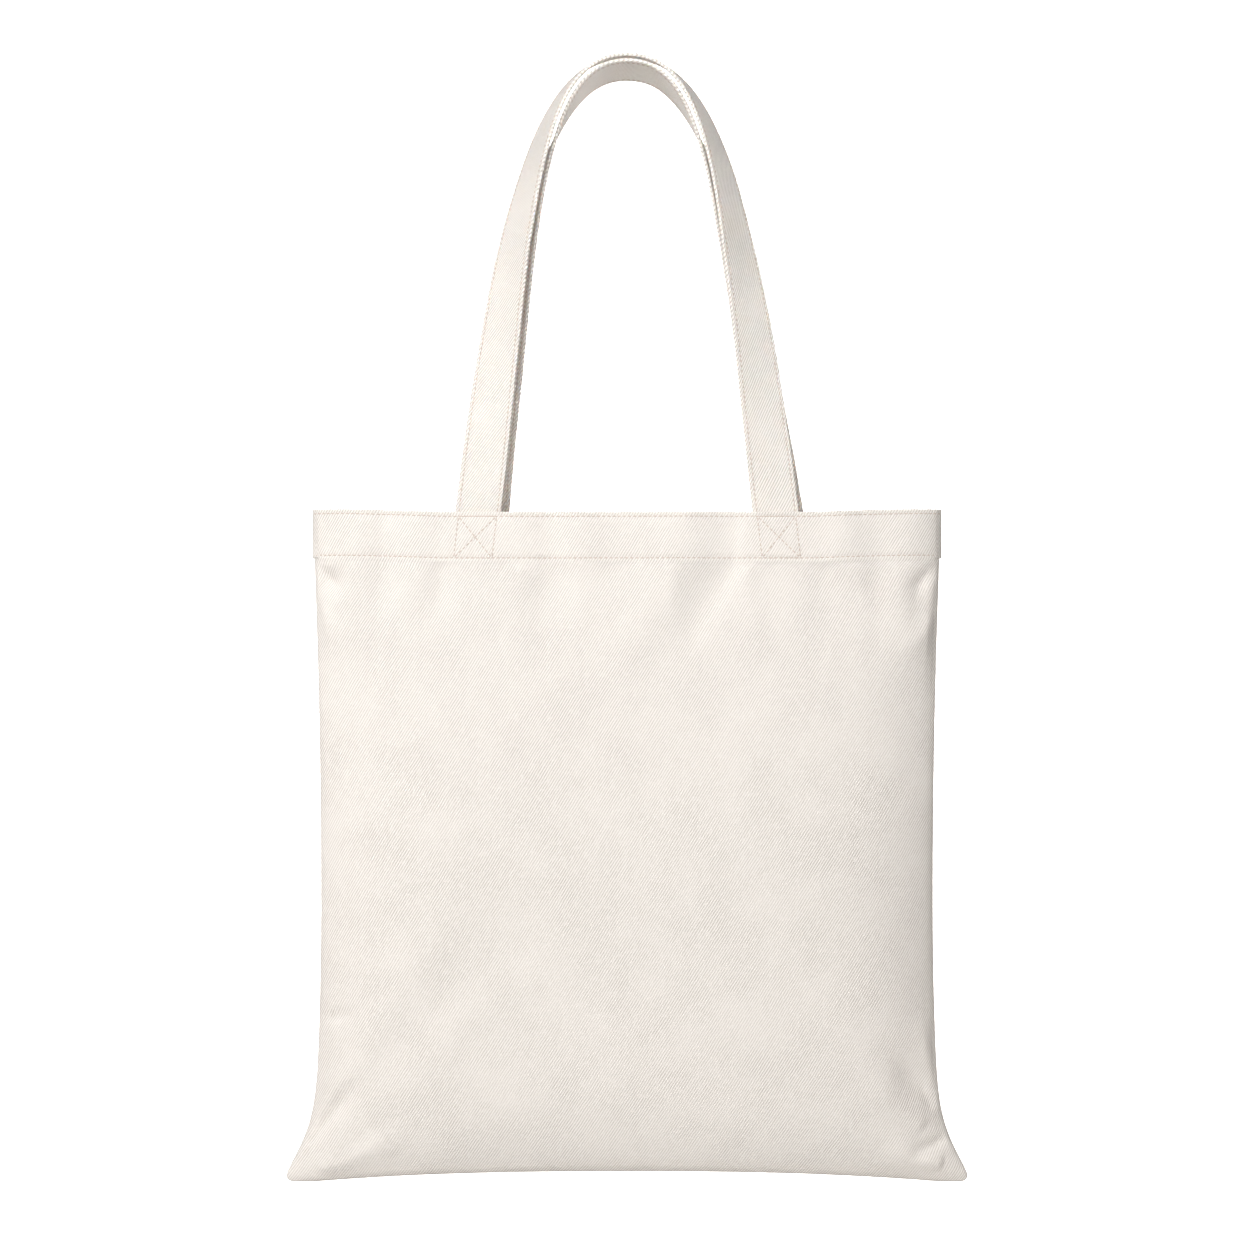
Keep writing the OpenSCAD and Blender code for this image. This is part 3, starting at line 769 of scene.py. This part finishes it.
def strap_frame(side, hand, t):
    """Middle point, direction across towards the inner edge, and facing direction, on the free strap."""
    point, slope = half_curve(t)
    outward = np.array([hand * slope[1], 0, slope[0]])
    if t < 0.12:                              # the strap is cut level where it leaves the mouth
        level = np.array([hand, 0, 0.0])
        blend = float(smooth(t / 0.12))
        outward = level * (1 - blend) + outward * blend
        outward /= np.linalg.norm(outward)
    front = np.array([0, -1.0, 0])
    turned = lambda top: math.radians(top * (1 - (1 - t) ** 2))
    face = lambda b: math.sin(b) * outward + math.cos(b) * front
    edge = lambda b: -math.cos(b) * outward + math.sin(b) * front
    close = STRAP_T + STRAP_GAP
    apart = close + (2 * STRAP_Y - close) * (1 - t) ** 2.5
    centre = np.array([-hand * point[0], -apart / 2, MOUTH_H + HINGE_GAP + point[1] + BOTTOM_Z])
    bf = turned(FRONT_TURN)
    if side == FRONT:
        return centre, edge(bf), face(bf)
    bb = turned(BACK_TURN)
    under = math.radians(FRONT_TURN * t ** 1.6)
    behind = apart * (math.cos(under) * front + math.sin(under) * outward)
    centre = (centre + STRAP_W / 2 * (edge(bf) - edge(bb)) - behind
              + np.array([BACK_SHIFT * (1 - t) ** 4, 0, 0]))
    return centre, edge(bb), face(bb)


SEWN_RINGS = 16
FREE_RINGS = 150


class Strap:
    """A handle's whole strap, from one sewn end in the hem over the arch to the other."""

    def __init__(self, side):
        self.side = side
        shift = BACK_SHIFT if side == BACK else 0
        rings = []
        for hand in (LEFT, RIGHT):
            sewn = []
            for h in np.linspace(HEM_LOW, MOUTH_H - 0.2 * MM, SEWN_RINGS):
                lean = hand * math.tan(STRAP_LEAN) * (MOUTH_H - h)
                middle = np.array([hand * STRAP_X + shift + lean, side * STRAP_Y, h + BOTTOM_Z])
                sewn.append((middle, np.array([-hand, 0, 0.0]), np.array([0, -1.0, 0])))
            free = [strap_frame(side, hand, t) for t in np.linspace(0, 1, FREE_RINGS)]
            leg = sewn + free
            rings += leg if hand == LEFT else leg[::-1][1:]
        self.middle, self.across, self.facing = (np.array([r[k] for r in rings]) for k in range(3))
        step = np.linalg.norm(np.diff(self.middle, axis=0), axis=1)
        self.run = np.concatenate([[0], np.cumsum(step)])
        self.length = self.run[-1]
        self.shape_noise()

    def shape_noise(self):
        """Small waves, so that the strap isn't ruled; none where it is sewn or touches the other one."""
        free = smooth((self.middle[:, 2] - hinge.z) / (30 * MM))
        apart = 1 - smooth((self.middle[:, 2] - hinge.z - 170 * MM) / (60 * MM))
        waves = np.array([noise.noise(Vector((r * 14, 3.7 * self.side, 0))) for r in self.run])
        self.middle = self.middle + self.facing * (1.1 * MM * waves * free * apart)[:, None]

    def profile(self):
        """Half of a strap's cross section, across and out: thick, and pinched at the stitch lines."""
        half = STRAP_W / 2
        across = np.concatenate([np.linspace(-1, -0.93, 6), np.linspace(-0.91, 0.91, 34),
                                 np.linspace(0.93, 1, 6)])
        x = across * half
        t = STRAP_FACE
        line = half - STITCH_INSET
        groove = 0.8 * MM
        pinch = STRAP_PINCH * (np.exp(-((x - line) / groove) ** 2) + np.exp(-((x + line) / groove) ** 2))
        rim = t * np.sqrt(np.clip(1 - (np.clip(np.abs(x) - (half - t), 0, t) / t) ** 2, 0, 1))
        return x, np.maximum(0.0, rim - pinch)

    def build(self):
        x, out = self.profile()
        up = np.stack([x, out], -1)
        down = np.stack([x[::-1], -out[::-1]], -1)[1:-1]
        ring = np.concatenate([up, down])
        wobble = np.array([noise.noise(Vector((r * 60, 9.1 * self.side, 2.0))) for r in self.run])
        wobble = wobble * 0.25 * MM
        widths = ring[:, 0][None, :, None] * (1 + wobble / STRAP_W * 2)[:, None, None]
        across = self.across[:, None, :] * widths
        p = self.middle[:, None, :] + across + self.facing[:, None, :] * ring[:, 1][None, :, None]
        weave = np.zeros_like(p)
        weave[..., 0] = ring[:, 0][None]
        weave[..., 1] = self.run[:, None]
        weave[..., 2] = 0.3 + 0.1 * self.side
        n = len(ring)
        faces = grid_faces(len(self.run), n, wrap=True).tolist()
        faces.append(list(range(n))[::-1])
        faces.append([(len(self.run) - 1) * n + i for i in range(n)])
        name = SIDE_NAMES[self.side]
        obj = mesh_object(name + "_strap", p.reshape(-1, 3), faces, weave.reshape(-1, 3))
        finish_piece(obj, strap_canvas, None,
                     [name + "_handle", name + "_left_strap_end", name + "_right_strap_end"])
        self.bend(obj)
        return obj

    def bend(self, obj):
        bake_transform(obj)

    def edge_stitching(self, edge, word):
        """Stitch lines along one edge, on both faces, from the mouth to the mouth."""
        offset = edge * (STRAP_W / 2 - STITCH_INSET)
        free = self.middle[:, 2] > hinge.z - 0.3 * MM
        runs = []
        for face in (1, -1):
            height = STRAP_FACE - STRAP_PINCH
            line = self.middle + self.across * offset + self.facing * face * height
            runs.append((line[free], self.facing[free] * face))
        name = "%s_handle_%s_stitching" % (SIDE_NAMES[self.side], word)
        obj = sew(name + "_thread", runs, body=None, nodes=[name])
        self.bend(obj)
        return obj


# ---------- put the bag together ----------

straps = {side: Strap(side) for side in (FRONT, BACK)}
for strap in straps.values():
    band = strap.build()
    strap.edge_stitching(1, "inner")
    strap.edge_stitching(-1, "outer")

cloths = {side: Cloth(side) for side in (FRONT, BACK)}
for cloth in cloths.values():
    panel = cloth.build()

SURFACE = CLOTH * 0.45                        # from a cloth's middle to its face


def ring_runs(height):
    runs = []
    for cloth in cloths.values():
        u = np.linspace(-FLAT_HALF + 1 * MM, FLAT_HALF - 1 * MM, 400)
        p, n = cloth.at(u, np.full_like(u, height))
        runs.append((p + n * SURFACE, n))
        inner = 2 * MOUTH_H + math.pi * 0.5 * CLOTH - height
        p, n = cloth.at(u[8:-8], np.full_like(u[8:-8], inner))
        runs.append((p + n * SURFACE, n))
    return runs


sew("mouth_topstitching_thread", ring_runs(MOUTH_H - STITCH_INSET), nodes=["mouth_topstitching"])
sew("hem_stitching_thread", ring_runs(HEM_LOW + STITCH_INSET), nodes=["hem_stitching"])


# the turned-in raw edges: two layers, sewn together and overlocked

LOW_CUT = 20 * MM
SIDE_TOP = HEM_LOW - HEM_TURN
ALLOWANCE_X = 170 * MM
OVERLOCK_W = 4.5 * MM
OVERLOCK_PITCH = 2.3 * MM
LAYER_Y = 0.45 * MM                           # from the middle plane to the middle of each layer


def side_line(hand, inward):
    """A line down inside a side seam, some way in from the fold."""
    h = np.linspace(LOW_CUT, SIDE_TOP, 150)
    x = hand * (half_width(h) - inward)
    return np.stack([x, np.zeros_like(x), h + BOTTOM_Z], -1)


def bottom_line(inward):
    x = np.linspace(-ALLOWANCE_X, ALLOWANCE_X, 150)
    return np.stack([x, np.zeros_like(x), bottom_edge(x) + inward + BOTTOM_Z], -1)


def allowance(name, line):
    """Two layers of the panels' cloth, as one piece."""
    steps = np.linspace(ALLOWANCE_IN, ALLOWANCE_W, 9)
    grid = np.stack([line(a) for a in steps], 1)
    run = np.linspace(0, 1, grid.shape[0]) * (SIDE_TOP - LOW_CUT)
    shape = grid.shape[:2]
    weave = np.stack([np.broadcast_to(steps[None], shape), np.broadcast_to(run[:, None], shape),
                      np.full(shape, 0.7)], -1)
    points, faces, weaves, base = [], [], [], 0
    for layer in (-1, 1):
        shifted = grid + np.array([0, layer * LAYER_Y, 0])
        obj = thick_sheet(name + "_layer", shifted, weave, CLOTH * 0.85)
        mesh = obj.data
        points += [tuple(v.co) for v in mesh.vertices]
        faces += [[base + i for i in p.vertices] for p in mesh.polygons]
        weaves += [tuple(v.vector) for v in mesh.attributes["weave"].data]
        base = len(points)
        bpy.data.objects.remove(obj, do_unlink=True)
    whole = mesh_object(name + "_cloth", points, faces, weaves)
    return finish_piece(whole, canvas, nodes=[name + "_seam_allowance"])


def overlock(name, line):
    """Loops over the raw edge and the chain along the band's inner side, on both faces."""
    outer, inner = line(ALLOWANCE_W + 0.15 * MM), line(ALLOWANCE_W - OVERLOCK_W)
    run = np.concatenate([[0], np.cumsum(np.linalg.norm(np.diff(outer, axis=0), axis=1))])
    count = int(run[-1] / OVERLOCK_PITCH)
    at = (np.arange(count) + 0.5) * run[-1] / count
    pick = lambda values, where: np.stack([np.interp(where, run, values[:, k]) for k in range(3)], -1)
    centres, along, outs, lengths = [], [], [], []
    face_y = 0.98 * MM
    for face in (-1, 1):
        out = np.tile([0, face, 0.0], (count, 1))
        for shift in (-0.55 * MM, 0.55 * MM):
            a, b = pick(outer, at), pick(inner, at + shift)
            centres.append((a + b) / 2 + out * face_y)
            along.append(b - a)
            outs.append(out)
            lengths.append(np.linalg.norm(b - a, axis=1) * 1.02)
        ahead = pick(inner, at + 0.4 * MM) - pick(inner, at - 0.4 * MM)
        centres.append(pick(inner, at) + out * (face_y + 0.12 * MM))
        along.append(ahead)
        outs.append(out)
        lengths.append(np.full(count, 2.1 * MM))
    edge = pick(outer, at)
    away = pick(outer, at) - pick(inner, at)
    centres.append(edge)
    along.append(np.tile([0, 1.0, 0], (count, 1)))
    outs.append(away / np.linalg.norm(away, axis=1, keepdims=True))
    lengths.append(np.full(count, 2.1 * MM))
    obj = stitch_mesh(name + "_overlock_thread", np.concatenate(centres), np.concatenate(along),
                      np.concatenate(outs), np.concatenate(lengths), 0.2 * MM, 0.5)
    return finish_piece(obj, overlock_thread, nodes=[name + "_overlock"])


for name, line in (("left", lambda a: side_line(LEFT, a)), ("right", lambda a: side_line(RIGHT, a)),
                   ("bottom", bottom_line)):
    allowance(name, line)
    overlock(name, line)
    seam = line(ALLOWANCE_IN + 1.5 * MM)
    outs = [np.tile([0, face, 0.0], (len(seam), 1)) for face in (-1, 1)]
    sew(name + "_seam_thread", [(seam + o * 0.85 * MM, o) for o in outs], nodes=[name + "_seam_stitching"])


def cross_box(side, hand):
    """The stitched box with a cross, on the outside of the hem and on the strap's end inside it."""
    cloth = cloths[side]
    runs = []
    for (x0, h0), (x1, h1) in box_lines(side, hand):
        t = np.linspace(0.02, 0.98, 24)
        x, h = x0 + (x1 - x0) * t, h0 + (h1 - h0) * t
        u = np.array([cloth.flat_of_x(px, ph) for px, ph in zip(x, h)])
        p, n = cloth.at(u, h)
        runs.append((p + n * SURFACE, n))
        inner = np.stack([x, np.full_like(x, side * (STRAP_Y - STRAP_FACE)), h + BOTTOM_Z], -1)
        runs.append((inner, np.tile([0, -side, 0.0], (len(t), 1))))
    name = "%s_%s_cross_stitch" % (SIDE_NAMES[side], HAND_NAMES[hand])
    return sew(name + "_thread", runs, nodes=[name])


for side in (FRONT, BACK):
    for hand in (LEFT, RIGHT):
        cross_box(side, hand)

# ---------- studio ----------

scene = bpy.context.scene
low, high = cad_box
CAMERA_DISTANCE = 1.573
camera_data = bpy.data.cameras.new("camera")
camera_data.lens = 74.6
camera_data.sensor_width = 36
camera = bpy.data.objects.new("camera", camera_data)
camera.location = (0, -CAMERA_DISTANCE, BOTTOM_Z + 335.2 * MM)
camera.rotation_euler = (math.pi / 2, 0, 0)
scene.collection.objects.link(camera)
scene.camera = camera


def studio_sweep():
    """A pale floor below the hanging bag that turns up into a pale wall behind it."""
    floor_z = BOTTOM_Z - 380 * MM
    front, wall, radius, half = -0.4, 2.3, 0.8, 1.5
    outline = [(front, floor_z)]
    for angle in np.linspace(0, math.pi / 2, 14):
        outline.append((wall - radius + radius * math.sin(angle),
                        floor_z + radius - radius * math.cos(angle)))
    outline.append((wall, floor_z + 2.7))
    grid = np.array([[(x, y, z) for x in (-half, half)] for y, z in outline])
    floor = mesh_object("studio_floor", grid.reshape(-1, 3), grid_faces(len(outline), 2))
    m = Nodes("studio_paper")
    m.put(m.shader.inputs["Base Color"], (0.76, 0.74, 0.72, 1))
    m.shader.inputs["Roughness"].default_value = 0.9
    floor.data.materials.append(m.material)


def softbox(name, place, target, size, power, color=(1, 1, 1)):
    data = bpy.data.lights.new(name, "AREA")
    data.shape = "RECTANGLE"
    data.size, data.size_y = size
    data.energy = power
    data.color = color
    light = bpy.data.objects.new(name, data)
    light.location = place
    light.rotation_euler = (Vector(target) - Vector(place)).to_track_quat("-Z", "Y").to_euler()
    scene.collection.objects.link(light)
    return light


studio_sweep()
middle = ((low + high) / 2)[:]
softbox("key_light", (-1.2, -1.7, 1.0), (0, 0, low.z * 0.4), (1.1, 1.1), 48, (1.0, 0.992, 0.98))
softbox("front_light", (0.0, -3.0, -0.1), middle, (1.5, 1.5), 38, (1.0, 0.975, 0.945))
softbox("low_light", (0.0, -1.0, -1.0), (0, 0, low.z), (0.8, 0.4), 1.2, (1.0, 0.985, 0.96))
strap_light = softbox("strap_light", (1.3, -1.2, 0.4), (0.0, 0, -0.02), (0.4, 0.4), 0.2)
strap_light.data.spread = math.radians(20)
for side_x in (-1.9, 1.9):
    wall_light = softbox("wall_light", (side_x, 0.9, 0.9), (-0.15 * side_x, 2.3, -0.35), (1.0, 1.0), 38)
    wall_light.data.spread = math.radians(75)
world = bpy.data.worlds.new("studio_air")
world.use_nodes = True
world.node_tree.nodes["Background"].inputs[0].default_value = (1, 0.965, 0.93, 1)
world.node_tree.nodes["Background"].inputs[1].default_value = 0.16
scene.world = world
scene.view_settings.view_transform = "Standard"
